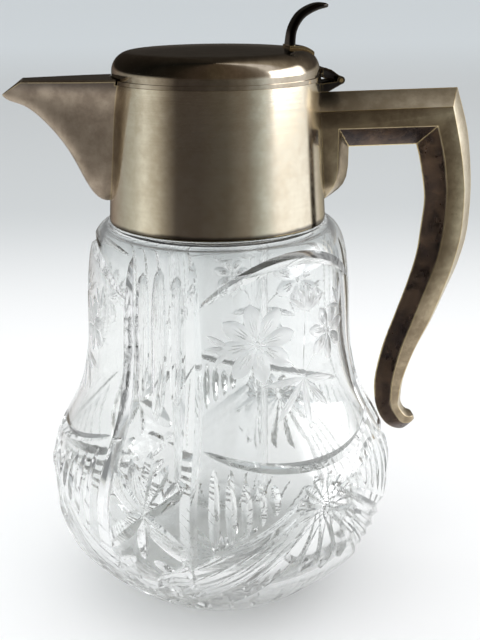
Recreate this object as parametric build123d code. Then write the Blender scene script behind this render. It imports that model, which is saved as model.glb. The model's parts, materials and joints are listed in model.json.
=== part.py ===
from build123d import *
import math
import os

# Cut-glass ice jug with a silver-plated mount, in millimetres.
# The origin is the centre of the glass foot's underside, +Z is up,
# the spout points along -X and the handle stands on the +X side.

# Overall sizes
seam_height = 264.0  # table to the seam between collar and lid
foot_radius = 43.5
bulb_radius = 88.3
bulb_height = 69.0  # table to the widest part of the bulb
drum_radius = 66.4  # straight part of the glass under the shoulder
drum_bottom = 130.0
drum_top = 172.0

# Glass
glass_wall = 5.0
foot_thickness = 13.0
heel_height = 4.0  # table to the heel, where the side starts to swell
heel_flare = 7.0  # foot radius out to the heel
side_swell = 7.0  # lower side bowed out from a straight line
side_swell_place = 0.38  # its height, as a share of the bulb's
waist_pull = 0.6  # upper side drawn in from a straight line
waist_lift = 6.0
drum_flare = 0.8  # drum's foot wider than the drum
shoulder_drop = 1.0  # collar's lower edge down to the shoulder's top
shoulder_step_drop = 7.5
shoulder_round = 5.0
shoulder_set_in = 3.6
shoulder_step_set_in = 4.4
shoulder_lip = 0.8  # shoulder's top out past the collar's foot
neck_radius = 47.5
neck_rise = 27.0  # neck above the collar's lower edge

# Collar
collar_height = 66.4
collar_top_radius = 50.0
collar_foot_radius = 53.4
collar_wall = 1.0
rim_ring_depth = 2.6
rim_ring_width = 2.2
cement_depth = 23.0
cement_rise = 1.5  # collar's lower edge up to the cement

# Ice insert
tube_radius = 25.0
tube_wall = 2.6
tube_bottom = 43.0
tube_lip = 2.6  # flare of the tube's rim over its plate
ledge_drop = 17.5  # seam down to the ledge's upper face
ledge_thickness = 1.5
ledge_overlap = 2.0
insert_plate = 1.5
insert_holes = 8
insert_hole_radius = 3.6
tube_rim_height = 2.2
tube_round = 12.0  # outer radius of the tube's lower corner

# Spout
spout_reach = 101.1  # axis to the tip
spout_rise = 2.8  # seam up to the cover's upper face
spout_foot_gap = 10.0  # collar's lower edge up to the keel
spout_half_width = 14.0
spout_wall = 1.2
cover_thickness = 1.0
mouth_length = 9.6
mouth_drop = 6.6
port_half_width = 6.0
port_height = 17.0
port_rise = 4.5  # top of the neck up to the port
strainer_thickness = 0.8
strainer_lap = 1.0  # strainer past the port, above and below
strainer_hole_radius = 1.1
strainer_pitch = 4.2
strainer_rows = 4

# Handle
handle_stand_off = 44.2  # bulb out to the handle's outermost line
handle_end_rise = 6.6  # widest part of the bulb up to the curl
arm_top_drop = 6.6  # seam down to the arm's upper ridge
arm_height = 27.8
arm_inner_bevel = 11.0
arm_outer_bevel = 8.4
arm_corner_cut = 9.6  # mitre: outermost line in to the upper corner
arm_root_depth = 6.0  # arm and leg start this far inside the collar
ridge_tilt = 9.0  # outer ridge over the section's level at the corner
ridge_tilt_change = 13.0  # and how much it falls down to the curl
handle_half_depth = 9.6
handle_wall = 1.4
leg_foot_gap = 6.0  # collar's lower edge up to the leg
leg_width = 15.0

# Lid
lid_set_in = 0.1  # lid's side inside the collar's top edge
lid_side = 4.5
lid_shoulder = 9.5
lid_crown = 1.8
lid_wall = 1.0
rim_wire_width = 0.8
rim_wire_height = 1.8
band_depth = 3.4
band_wall = 1.0

# Hinge and thumb lever
hinge_offset = 10.0  # collar's top radius out to the pin
hinge_drop = 0.8  # seam down to the pin
knuckle_radius = 1.9
pin_radius = 0.9
knuckle_length = 3.6
leaf_thickness = 1.4
lever_reach = 23.5
lever_rise = 20.0
lever_width = 14.0
lever_thickness = 2.6
lever_set_in = 15.1  # lid's side in to the lever's heel
foot_plate_half_width = 8.0
foot_plate_length = 12.0
foot_plate_thickness = 1.2

# Clearances
lid_gap = 0.3  # lid over the collar
band_gap = 0.7  # lid band inside the rim ring
insert_gap = 0.6  # insert plate inside the rim ring
seat_gap = 0.2  # insert plate over its ledge
tube_gap = 0.3  # tube in its plate
rim_gap = 0.1  # tube's rim over its plate
pin_gap = 0.05  # pin in the turning knuckles
side_gap = 0.15  # between knuckles
spout_gap = 0.5  # spout cover to the lid's wire
strainer_gap = 0.05  # strainer inside the beak

# Derived places
collar_foot = seam_height - collar_height
collar_slope = (collar_foot_radius - collar_top_radius) / collar_height
pin_x = collar_top_radius + hinge_offset
pin_z = seam_height - hinge_drop
spout_top = seam_height + spout_rise
arm_top = seam_height - arm_top_drop
arm_bottom = arm_top - arm_height
leg_length = arm_bottom - collar_foot - leg_foot_gap
handle_reach = bulb_radius + handle_stand_off
handle_drop = arm_bottom - bulb_height - handle_end_rise
spout_depth = collar_height + spout_rise - spout_foot_gap
lid_radius = collar_top_radius - lid_set_in
lid_base = seam_height + lid_gap
lid_top = lid_base + lid_side + lid_shoulder
lever_place = lid_radius - lever_set_in
ledge_top = seam_height - ledge_drop
plate_base = ledge_top + seat_gap
plate_top = plate_base + insert_plate
rim_ring_inner = collar_top_radius - collar_wall - rim_ring_width
insert_radius = rim_ring_inner - insert_gap
knuckle_count = 5
hinge_half_length = knuckle_count * knuckle_length / 2


def collar_radius(z, inset=0.0):
    """Outer radius of the collar at a height, less an inset."""
    return collar_top_radius + (seam_height - z) * collar_slope - inset


def ring(inner, outer, low, high):
    """Plain ring round the axis."""
    tube = Cylinder(outer, high - low) - Cylinder(inner, 2 * (high - low))
    return Pos(0, 0, (low + high) / 2) * tube


def spun(points_face):
    """Full turn of a profile drawn in the XZ plane."""
    return revolve(points_face, Axis.Z, 360)


def collar_cone(inset, low, high):
    """Solid cone frustum that follows the collar, moved in by an inset."""
    profile = Polyline(
        (0, 0, low),
        (collar_radius(low, inset), 0, low),
        (collar_radius(high, inset), 0, high),
        (0, 0, high),
        close=True,
    )
    return spun(make_face(profile))


# Glass body -------------------------------------------------------------

# Directions in which the side leaves the heel and meets the drum.
heel_direction = (0.8, 0, 0.6)
drum_foot_direction = (-0.12, 0, 1.0)


def glass_profile(inset):
    """Half outline from foot to neck, moved in by the wall."""
    heel = foot_radius + heel_flare
    shoulder_top = collar_foot - shoulder_drop - inset
    shoulder_step = collar_foot - shoulder_step_drop
    waist = (bulb_radius + drum_radius) / 2 - waist_pull
    waist_height = (bulb_height + drum_bottom) / 2 + waist_lift
    swell = (heel + bulb_radius) / 2 + side_swell
    side = Spline(
        (heel - inset, 0, heel_height + inset * 0.5),
        (swell - inset, 0, bulb_height * side_swell_place),
        (bulb_radius - inset, 0, bulb_height),
        (waist - inset, 0, waist_height),
        (drum_radius + drum_flare - inset, 0, drum_bottom),
        tangents=(heel_direction, drum_foot_direction),
    )
    wall = Polyline(
        side @ 1,
        (drum_radius - inset, 0, drum_top),
        (drum_radius - shoulder_set_in - inset, 0, shoulder_step - shoulder_round - inset * 0.3),
        (drum_radius - shoulder_step_set_in - inset, 0, shoulder_step - inset * 0.5),
        (collar_foot_radius + shoulder_lip - inset, 0, shoulder_top),
        (neck_radius - inset, 0, shoulder_top),
        (neck_radius - inset, 0, collar_foot + neck_rise),
    )
    return side, wall


def make_glass_body():
    """Hollow glass body with a thick foot and a plain neck."""
    side, wall = glass_profile(0.0)
    heel = Line((foot_radius, 0, 0), side @ 0)
    bottom = Line((0, 0, 0), (foot_radius, 0, 0))
    top = Line(wall @ 1, (0, 0, collar_foot + neck_rise))
    axis_line = Line(top @ 1, (0, 0, 0))
    outer = spun(make_face([bottom, heel, side, wall, top, axis_line]))

    in_side, in_wall = glass_profile(glass_wall)
    floor = Line((0, 0, foot_thickness), (foot_radius - glass_wall, 0, foot_thickness))
    corner = Line(floor @ 1, in_side @ 0)
    over = collar_foot + neck_rise + 5.0
    rise = Line(in_wall @ 1, (neck_radius - glass_wall, 0, over))
    lid_line = Line(rise @ 1, (0, 0, over))
    in_axis = Line(lid_line @ 1, (0, 0, foot_thickness))
    inner = spun(make_face([floor, corner, in_side, in_wall, rise, lid_line, in_axis]))
    return outer - inner


# Collar and its inner parts ---------------------------------------------

def make_neck_cement():
    """Plaster bed between the neck and the collar."""
    low = collar_foot + cement_rise
    cone = collar_cone(collar_wall, low, low + cement_depth)
    return cone - Pos(0, 0, low + cement_depth / 2) * Cylinder(neck_radius, 2 * cement_depth)


def spout_port():
    """Opening through the collar wall behind the spout."""
    low = collar_foot + neck_rise + port_rise
    block = Box(collar_top_radius / 2, 2 * port_half_width, port_height)
    return Pos(-collar_foot_radius, 0, low + port_height / 2) * block


def make_collar_sleeve():
    """Sheet collar, a little wider at its lower edge, with the port."""
    outer = collar_cone(0.0, collar_foot, seam_height)
    inner = collar_cone(collar_wall, collar_foot - 0.001, seam_height + 0.001)
    return outer - inner - spout_port()


def make_collar_rim_ring():
    """Turned-in ring at the collar's mouth."""
    low = seam_height - rim_ring_depth
    cone = collar_cone(collar_wall, low, seam_height)
    return cone - Pos(0, 0, seam_height) * Cylinder(rim_ring_inner, 4 * rim_ring_depth)


def make_insert_ledge():
    """Ring that the insert plate stands on."""
    low = ledge_top - ledge_thickness
    cone = collar_cone(collar_wall, low, ledge_top)
    bore = Cylinder(insert_radius - ledge_overlap, 6 * ledge_thickness)
    return cone - Pos(0, 0, low) * bore


# Ice insert -------------------------------------------------------------

def make_insert_ring():
    """Pierced plate that carries the ice tube."""
    plate = ring(tube_radius + tube_gap, insert_radius, plate_base, plate_top)
    hole_circle = (tube_radius + insert_radius - ledge_overlap + tube_lip / 2) / 2
    hole = Cylinder(insert_hole_radius, 6 * insert_plate)
    for index in range(insert_holes):
        angle = 360 * (index + 0.5) / insert_holes
        plate -= Rot(0, 0, angle) * Pos(hole_circle, 0, plate_base) * hole
    return plate


def make_ice_tube():
    """Glass tube with a round bottom and a flared rim."""
    rim_low = plate_top + rim_gap
    rim_high = rim_low + tube_rim_height
    inside = tube_radius - tube_wall
    round_out = tube_round
    round_in = round_out - tube_wall
    bow = 1 - math.sqrt(0.5)  # where the middle of a quarter round lies
    outer = Polyline(
        (tube_radius, 0, tube_bottom + round_out),
        (tube_radius, 0, rim_low),
        (tube_radius + tube_lip, 0, rim_low),
        (tube_radius + tube_lip, 0, rim_high),
        (inside, 0, rim_high),
        (inside, 0, tube_bottom + round_out),
    )
    floor_in = tube_bottom + tube_wall
    low_in = ThreePointArc(
        (inside, 0, tube_bottom + round_out),
        (inside - round_in * bow, 0, floor_in + round_in * bow),
        (inside - round_in, 0, floor_in),
    )
    flat_in = Line(low_in @ 1, (0, 0, floor_in))
    axis_line = Line(flat_in @ 1, (0, 0, tube_bottom))
    flat_out = Line(axis_line @ 1, (tube_radius - round_out, 0, tube_bottom))
    low_out = ThreePointArc(
        flat_out @ 1,
        (tube_radius - round_out * bow, 0, tube_bottom + round_out * bow),
        (tube_radius, 0, tube_bottom + round_out),
    )
    return spun(make_face([outer, low_in, flat_in, axis_line, flat_out, low_out]))


# Spout ------------------------------------------------------------------

# For each section of the beak: its place from collar to tip, the keel's
# depth and the half width, all as shares of the full sizes.
spout_sections = (
    (-0.14, 0.990, 1.04),
    (0.0, 1.0, 1.0),
    (0.10, 0.973, 0.97),
    (0.26, 0.777, 0.88),
    (0.42, 0.530, 0.76),
    (0.60, 0.345, 0.62),
    (0.80, 0.209, 0.46),
    (1.0, 0.128, 0.30),
)


def spout_section(share, depth_share, width_share, inset, lift):
    """One upright section across the beak."""
    length = spout_reach - collar_foot_radius
    x = -(collar_foot_radius + share * length)
    half = spout_half_width * width_share - inset
    top = spout_top - cover_thickness
    low = spout_top - spout_depth * depth_share + inset
    depth = top - low
    near = Bezier(
        (x, half, top),
        (x, 0.30 * half, top - 0.28 * depth),
        (x, 0.62 * half, low + 0.02 * depth),
        (x, 0, low),
    )
    far = Bezier(
        (x, 0, low),
        (x, -0.62 * half, low + 0.02 * depth),
        (x, -0.30 * half, top - 0.28 * depth),
        (x, -half, top),
    )
    if lift == 0:
        return make_face([near, far, Line(far @ 1, near @ 0)])
    rise = Polyline(far @ 1, (x, -half, top + lift), (x, half, top + lift), near @ 0)
    return make_face([near, far, rise])


def spout_body(inset, lift):
    """Loft through the beak's sections."""
    return loft([spout_section(*row, inset, lift) for row in spout_sections])


def mouth_cut():
    """Block that cuts the slanted mouth at the tip."""
    angle = math.degrees(math.atan2(mouth_drop, mouth_length))
    block = Pos(0, 0, 30) * Box(120, 80, 60)
    tip = spout_top - mouth_drop - 0.2
    return Pos(-spout_reach, 0, tip) * Rot(0, -angle, 0) * block


def lid_clearance():
    """Room for the lid's wire above the seam."""
    outer = lid_radius + rim_wire_width + spout_gap
    return Pos(0, 0, seam_height + 20) * Cylinder(outer, 40)


def make_spout_shell():
    """Folded sheet beak, open at the mouth and at the port."""
    shell = spout_body(0.0, 0) - spout_body(spout_wall, 6.0)
    shell -= collar_cone(0.0, collar_foot - 20, seam_height)
    return shell - lid_clearance() - mouth_cut()


def make_spout_cover():
    """Flat plate over the beak, clear of the lid's wire."""
    outline = []
    length = spout_reach - collar_foot_radius
    for share, _, width_share in spout_sections:
        x = -(collar_foot_radius + share * length)
        outline.append((x, spout_half_width * width_share))
    near = Spline(*outline)
    far = Spline(*[(x, -y) for x, y in outline])
    ends = [Line(near @ 0, far @ 0), Line(near @ 1, far @ 1)]
    plate = extrude(make_face([near, far] + ends), cover_thickness)
    plate = Pos(0, 0, spout_top - cover_thickness) * plate
    return plate - lid_clearance() - mouth_cut()


def make_strainer_plate():
    """Pierced plate inside the beak, just outside the port."""
    low = collar_foot + neck_rise + port_rise - strainer_lap
    high = low + port_height + 2 * strainer_lap
    outer = collar_cone(-strainer_thickness, low, high)
    plate = outer - collar_cone(0.0, low - 1, high + 1)
    plate &= spout_body(spout_wall + strainer_gap, 0)
    hole = Rot(0, 90, 0) * Cylinder(strainer_hole_radius, 20)
    lowest = low + strainer_lap + 2 * strainer_hole_radius
    for row in range(strainer_rows):
        z = lowest + strainer_pitch * row
        for side in (-0.5, 0.5):
            plate -= Pos(-collar_radius(z), strainer_pitch * side, z) * hole
    return plate


# Handle -----------------------------------------------------------------

# Lower sweep of the handle: share of the drop from the corner to the
# curl, the outer and inner ridges as shares of the stand-off from the
# bulb, and the half depth as a share of the full half depth. Where the
# inner ridge reaches in under the bulb's widest line its share is
# negative, and counts the bulb's overhang over the drum instead.
handle_sections = (
    (0.0, 0.964, 0.340, 1.0),
    (0.11, 1.0, 0.407, 1.0),
    (0.23, 0.994, 0.430, 0.98),
    (0.38, 0.886, 0.346, 0.94),
    (0.54, 0.688, 0.176, 0.88),
    (0.70, 0.436, -0.014, 0.80),
    (0.84, 0.287, -0.159, 0.72),
    (0.93, 0.262, -0.099, 0.66),
)


def inner_stand_off(share):
    """Distance of the inner ridge from the bulb's widest line."""
    if share < 0:
        return share * (bulb_radius - drum_radius)
    return share * handle_stand_off


def ridge_points(share, outer_share, inner_share):
    """Outer and inner ridge points of one section of the sweep."""
    low = arm_bottom - share * handle_drop
    slope = ridge_tilt - ridge_tilt_change * share
    outer = Vector(bulb_radius + handle_stand_off * outer_share, 0, low + slope)
    inner = Vector(bulb_radius + inner_stand_off(inner_share), 0, low - slope * 0.2)
    return outer, inner


def half_hexagon(outer, inner, depth, inset):
    """Half section between two ridge points, bevelled towards +Y."""
    span = (inner - outer).length
    share_out = arm_outer_bevel / arm_height
    share_in = arm_inner_bevel / arm_height
    unit = (inner - outer).normalized()
    first = outer + unit * inset * 1.6
    last = inner - unit * inset * 1.6
    reach = Vector(0, depth - inset, 0)
    face_out = outer + unit * (span * share_out + inset * 0.3) + reach
    face_in = inner - unit * (span * share_in + inset * 0.3) + reach
    back = Vector(0, -inset, 0)
    if inset == 0:
        return make_face(Polyline(first, face_out, face_in, last, close=True))
    return make_face(Polyline(first + back, first, face_out, face_in, last, last + back, close=True))


def arm_sections(inset):
    """Sections of the arm from inside the collar to the mitred corner."""
    root = collar_top_radius - arm_root_depth
    root_top = Vector(root, 0, arm_top)
    root_bottom = Vector(root, 0, arm_bottom)
    corner_top = Vector(handle_reach - arm_corner_cut, 0, arm_top)
    corner_bottom = Vector(bulb_radius + inner_stand_off(handle_sections[0][2]), 0, arm_bottom)
    return [
        half_hexagon(root_top, root_bottom, handle_half_depth, inset),
        half_hexagon(corner_top, corner_bottom, handle_half_depth, inset),
    ]


def sweep_sections(inset):
    """Sections of the sweep from the mitred corner to the curl."""
    faces = [arm_sections(inset)[1]]
    for share, outer_share, inner_share, depth_share in handle_sections[1:]:
        outer, inner = ridge_points(share, outer_share, inner_share)
        faces.append(half_hexagon(outer, inner, handle_half_depth * depth_share, inset))
    return faces


# Leg under the arm: share of the leg's length, and how far its front
# face and its ridge stand off, as shares of the leg's width.
leg_sections = (
    (0.0, 0.60, 1.0),
    (0.36, 0.58, 0.97),
    (0.62, 0.50, 0.87),
    (0.84, 0.30, 0.62),
    (1.0, 0.0, 0.12),
)


def leg_solid(inset):
    """Leg that runs down the collar below the arm."""
    start = collar_top_radius - arm_root_depth
    foot = collar_radius(arm_bottom)
    reach = handle_half_depth - inset
    back = -inset
    rows = [(-0.5, 0.60, 1.0)] + list(leg_sections)
    faces = []
    for share, face_share, ridge_share in rows:
        z = arm_bottom - leg_length * share
        face_x = foot + leg_width * face_share - inset
        ridge_x = foot + leg_width * ridge_share - inset * 1.6
        corners = [(start, back, z), (start, reach, z), (face_x, reach, z), (ridge_x, 0, z)]
        if inset > 0:
            corners.append((ridge_x, back, z))
        faces.append(make_face(Polyline(*corners, close=True)))
    return loft(faces, ruled=True)


def handle_solids(inset):
    """Arm, sweep and collar leg of one half."""
    arm = loft(arm_sections(inset), ruled=True)
    sweep_part = loft(sweep_sections(inset), ruled=inset > 0)
    return [arm, sweep_part, leg_solid(inset)]


def make_handle_half():
    """Pressed half shell, soldered to the other along its ridges."""
    arm, sweep_part, leg = handle_solids(0.0)
    shell = arm + sweep_part + leg
    for hollow in handle_solids(handle_wall):
        shell -= hollow
    return shell - collar_cone(0.0, collar_foot - leg_foot_gap, seam_height)


# Curl at the end, as shares of its size out from the handle's last
# section: along the section from inner to outer ridge, and below it.
scroll_outline = (
    (0.22, 0.413),
    (0.50, 0.705),
    (0.90, 0.843),
    (1.30, 0.808),
    (1.56, 0.568),
    (1.52, 0.344),
    (1.34, 0.189),
    (1.14, 0.138),
)
scroll_middle = (0.75, 0.42)
scroll_face_scale = 0.62  # flat side face against the middle outline


def make_handle_scroll():
    """Cast curl that closes the end of the handle."""
    share, outer_share, inner_share, depth_share = handle_sections[-1]
    outer, inner = ridge_points(share, outer_share, inner_share)
    along = outer - inner
    unit = along.normalized()
    down = Vector(unit.Z, 0, -unit.X)
    size = along.length
    points = [inner]
    for out_share, down_share in scroll_outline:
        points.append(inner + along * out_share + down * (size * down_share))
    points.append(outer)
    middle = inner + along * scroll_middle[0] + down * (size * scroll_middle[1])
    depth = handle_half_depth * depth_share

    def level(reach, scale_by):
        placed = [middle + (point - middle) * scale_by + Vector(0, reach, 0) for point in points]
        return make_face([Spline(*placed), Line(placed[-1], placed[0])])

    near = loft([level(0, 1.0), level(-depth, scroll_face_scale)], ruled=True)
    return near + mirror(near, Plane.XZ)


# Lid --------------------------------------------------------------------

def lid_profile(inset):
    """Outline of the domed lid from rim to crown, moved in by the wall."""
    radius = lid_radius - inset
    side_top = lid_base + lid_side
    round_radius = lid_shoulder - inset
    shoulder = lid_top - inset
    crown = lid_top + lid_crown - inset
    mid = math.sqrt(0.5)
    side = Line((radius, 0, lid_base), (radius, 0, side_top))
    bend = ThreePointArc(
        side @ 1,
        (radius - round_radius * (1 - mid), 0, side_top + round_radius * mid),
        (radius - round_radius, 0, shoulder),
    )
    top = Spline(bend @ 1, (0, 0, crown), tangents=((-1, 0, 0.05), (-1, 0, 0)))
    return side, bend, top


def lid_solid(inset):
    """Lid filled down to its base."""
    side, bend, top = lid_profile(inset)
    base = Line((0, 0, lid_base), side @ 0)
    axis_line = Line(top @ 1, (0, 0, lid_base))
    return spun(make_face([base, side, bend, top, axis_line]))


def make_lid_dome():
    """Spun dome of the lid."""
    return lid_solid(0.0) - lid_solid(lid_wall)


def make_lid_rim_wire():
    """Flat wire round the lid's lower edge."""
    return ring(lid_radius, lid_radius + rim_wire_width, lid_base, lid_base + rim_wire_height)


def make_lid_band():
    """Ring under the lid that centres it in the collar."""
    outer = rim_ring_inner - band_gap
    low = seam_height - band_depth
    band = ring(outer - band_wall, outer, low, lid_base)
    flange = ring(outer - band_wall, lid_radius - lid_wall, lid_base, lid_base + band_wall)
    return band + flange


# Hinge ------------------------------------------------------------------

def knuckle(index, bore):
    """One knuckle of the hinge, counted along the pin."""
    low = -hinge_half_length + index * knuckle_length
    length = knuckle_length - side_gap
    barrel = Cylinder(knuckle_radius, length) - Cylinder(bore, 2 * length)
    return Pos(pin_x, low + knuckle_length / 2, pin_z) * Rot(90, 0, 0) * barrel


def knuckle_arm(index, points):
    """Arm that carries one knuckle, drawn in the XZ plane."""
    low = -hinge_half_length + index * knuckle_length + side_gap / 2
    length = knuckle_length - side_gap
    face = make_face(Polyline(*[(x, low, z) for x, z in points], close=True))
    arm = extrude(face, length, dir=(0, 1, 0))
    hole = Pos(pin_x, 0, pin_z) * Rot(90, 0, 0) * Cylinder(knuckle_radius - 0.2, 60)
    return arm - hole


def make_hinge_collar_leaf():
    """Leaf on the collar with the outer and middle knuckles."""
    low = arm_top + 0.3
    high = seam_height - 2.2
    plate = collar_cone(-leaf_thickness, low, high) - collar_cone(0.0, low - 1, high + 1)
    plate &= Pos(collar_top_radius, 0, seam_height) * Box(30, 2 * hinge_half_length, 30)
    root = collar_radius(high) + 0.4
    points = [
        (root, low),
        (root, high),
        (pin_x - 1.0, pin_z - 0.5),
        (pin_x + 0.8, pin_z - 1.6),
        (root + leaf_thickness + 1.6, low),
    ]
    for index in range(0, knuckle_count, 2):
        plate += knuckle(index, pin_radius)
        plate += knuckle_arm(index, points)
    return plate


def make_hinge_lid_leaf():
    """Arched leaf on the lid with the knuckles between."""
    low = lid_base + rim_wire_height + 0.2
    high = low + 4.4
    outer = lid_radius + leaf_thickness + 1.0
    plate = ring(lid_radius, outer, low, high)
    plate &= Pos(collar_top_radius, 0, lid_base) * Box(30, 2 * hinge_half_length, 40)
    root = lid_radius + 1.0
    points = [
        (root, low + 0.2),
        (root, high),
        (root + 3.6, high - 1.0),
        (pin_x - 0.4, pin_z + knuckle_radius),
        (pin_x - 1.6, pin_z + 0.6),
        (root + 4.0, low + 0.2),
    ]
    for index in range(1, knuckle_count, 2):
        plate += knuckle(index, pin_radius + pin_gap)
        plate += knuckle_arm(index, points)
    return plate


def make_hinge_pin():
    """Pin through all the knuckles, with domed ends."""
    pin = Cylinder(pin_radius, 2 * hinge_half_length + 0.8)
    return Pos(pin_x, 0, pin_z) * Rot(90, 0, 0) * pin


# Thumb lever ------------------------------------------------------------

def make_lever_foot():
    """Plate that follows the lid's shoulder under the lever."""
    shell = lid_solid(-foot_plate_thickness) - lid_solid(0.0)
    window = Box(foot_plate_length, 2 * foot_plate_half_width, 40)
    return shell & (Pos(lever_place + foot_plate_length / 2, 0, lid_top) * window)


# Curve of the lever's inner side, as shares of its reach and rise.
lever_curve = (
    (0.0, 0.0),
    (0.06, 0.30),
    (0.22, 0.60),
    (0.52, 0.85),
    (0.97, 1.0),
)


def make_thumb_lever():
    """Curved lever that sweeps up and out over the hinge."""
    start = lid_top + lid_crown * 0.35 + foot_plate_thickness
    outer = [(lever_place + x * lever_reach, start + z * lever_rise) for x, z in lever_curve]
    thickness = lever_thickness
    inner = [
        (outer[0][0] + thickness, outer[0][1]),
        (outer[1][0] + thickness + 0.3, outer[1][1] - 0.4),
        (outer[2][0] + thickness * 1.1, outer[2][1] - thickness * 0.75),
        (outer[3][0] + thickness * 0.7, outer[3][1] - thickness * 1.35),
        (outer[4][0] + 0.3, outer[4][1] - thickness * 1.35),
    ]
    back = Spline(*[(x, 0, z) for x, z in outer])
    front = Spline(*[(x, 0, z) for x, z in inner])
    tip = ThreePointArc(
        back @ 1,
        (outer[4][0] + thickness * 0.55, 0, outer[4][1] - thickness * 0.66),
        front @ 1,
    )
    heel = Line(front @ 0, back @ 0)
    half = extrude(make_face([back, tip, front, heel]), lever_width / 2, dir=(0, 1, 0))
    return half + mirror(half, Plane.XZ)


# Output -----------------------------------------------------------------

def all_parts():
    """Every piece with its node name."""
    handle_half = make_handle_half()
    return {
        "glass_body": make_glass_body(),
        "neck_cement": make_neck_cement(),
        "collar_sleeve": make_collar_sleeve(),
        "collar_rim_ring": make_collar_rim_ring(),
        "insert_ledge": make_insert_ledge(),
        "strainer_plate": make_strainer_plate(),
        "spout_shell": make_spout_shell(),
        "spout_cover": make_spout_cover(),
        "handle_near_half": mirror(handle_half, Plane.XZ),
        "handle_far_half": handle_half,
        "handle_scroll": make_handle_scroll(),
        "hinge_collar_leaf": make_hinge_collar_leaf(),
        "hinge_pin": make_hinge_pin(),
        "insert_ring": make_insert_ring(),
        "ice_tube": make_ice_tube(),
        "lid_dome": make_lid_dome(),
        "lid_rim_wire": make_lid_rim_wire(),
        "lid_band": make_lid_band(),
        "hinge_lid_leaf": make_hinge_lid_leaf(),
        "lever_foot": make_lever_foot(),
        "thumb_lever": make_thumb_lever(),
    }


os.makedirs("parts", exist_ok=True)
for node_name, solid in all_parts().items():
    export_step(solid, f"parts/{node_name}.step")
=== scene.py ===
import json
import math

import bmesh
import bpy
from mathutils import Matrix, Vector
from mathutils.geometry import interpolate_bezier

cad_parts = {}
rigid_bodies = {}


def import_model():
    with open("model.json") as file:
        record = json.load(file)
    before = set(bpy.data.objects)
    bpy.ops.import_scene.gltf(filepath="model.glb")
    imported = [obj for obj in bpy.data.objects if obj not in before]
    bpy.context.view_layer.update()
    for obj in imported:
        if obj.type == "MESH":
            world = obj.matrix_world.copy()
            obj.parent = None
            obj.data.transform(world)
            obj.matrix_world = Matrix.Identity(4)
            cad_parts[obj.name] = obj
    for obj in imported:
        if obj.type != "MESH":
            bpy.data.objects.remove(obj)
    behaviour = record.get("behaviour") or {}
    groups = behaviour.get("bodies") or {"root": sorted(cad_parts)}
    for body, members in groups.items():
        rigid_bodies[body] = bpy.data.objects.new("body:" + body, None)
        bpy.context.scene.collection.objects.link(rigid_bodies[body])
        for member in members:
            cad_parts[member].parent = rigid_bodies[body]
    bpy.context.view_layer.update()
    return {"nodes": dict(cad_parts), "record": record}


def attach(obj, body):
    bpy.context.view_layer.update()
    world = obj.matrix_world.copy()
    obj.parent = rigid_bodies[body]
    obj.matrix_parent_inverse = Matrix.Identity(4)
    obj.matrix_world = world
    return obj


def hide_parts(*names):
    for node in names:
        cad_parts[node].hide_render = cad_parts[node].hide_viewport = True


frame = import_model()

nodes = frame["nodes"]
scene = bpy.context.scene
mm = 0.001
print("frame loaded,", len(nodes), "nodes")


# camera

cameraValues = {
    "distance": 0.563,   # jug's axis to the lens, level
    "height": 0.3202,
    "stand": 9.0,        # degrees round the jug from the -Y side
    "heading": 10.09,
    "down": 17.5,
    "roll": -0.5,
    "lens": 64.69,
    "sensor": 36.0,
    "clip": (0.01, 100.0),
}


def addCamera(values):
    data = bpy.data.cameras.new("camera")
    data.lens = values["lens"]
    data.sensor_width = values["sensor"]
    data.clip_start, data.clip_end = values["clip"]
    camera = bpy.data.objects.new("camera", data)
    scene.collection.objects.link(camera)
    stand = math.radians(values["stand"])
    place = Vector((-math.sin(stand), -math.cos(stand), 0.0)) * values["distance"]
    place.z = values["height"]
    turn = Matrix.Rotation(math.radians(-values["heading"]), 4, "Z")
    tip = Matrix.Rotation(math.radians(90.0 - values["down"]), 4, "X")
    roll = Matrix.Rotation(math.radians(values["roll"]), 4, "Z")
    camera.matrix_world = Matrix.Translation(place) @ turn @ tip @ roll
    scene.camera = camera


addCamera(cameraValues)
print("camera placed")


# shader helpers

class Wire:
    # one shader socket; sums written with it add Math nodes
    def __init__(self, shader, socket):
        self.shader = shader
        self.socket = socket

    def sum(self, operation, first, second=0.0):
        return self.shader.node("ShaderNodeMath", {"operation": operation}, {0: first, 1: second})

    def __add__(self, other):
        return self.sum("ADD", self, other)

    def __radd__(self, other):
        return self.sum("ADD", other, self)

    def __sub__(self, other):
        return self.sum("SUBTRACT", self, other)

    def __rsub__(self, other):
        return self.sum("SUBTRACT", other, self)

    def __mul__(self, other):
        return self.sum("MULTIPLY", self, other)

    def __rmul__(self, other):
        return self.sum("MULTIPLY", other, self)

    def __truediv__(self, other):
        return self.sum("DIVIDE", self, other)

    def __rtruediv__(self, other):
        return self.sum("DIVIDE", other, self)

    def __neg__(self):
        return self.sum("MULTIPLY", self, -1.0)


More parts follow.
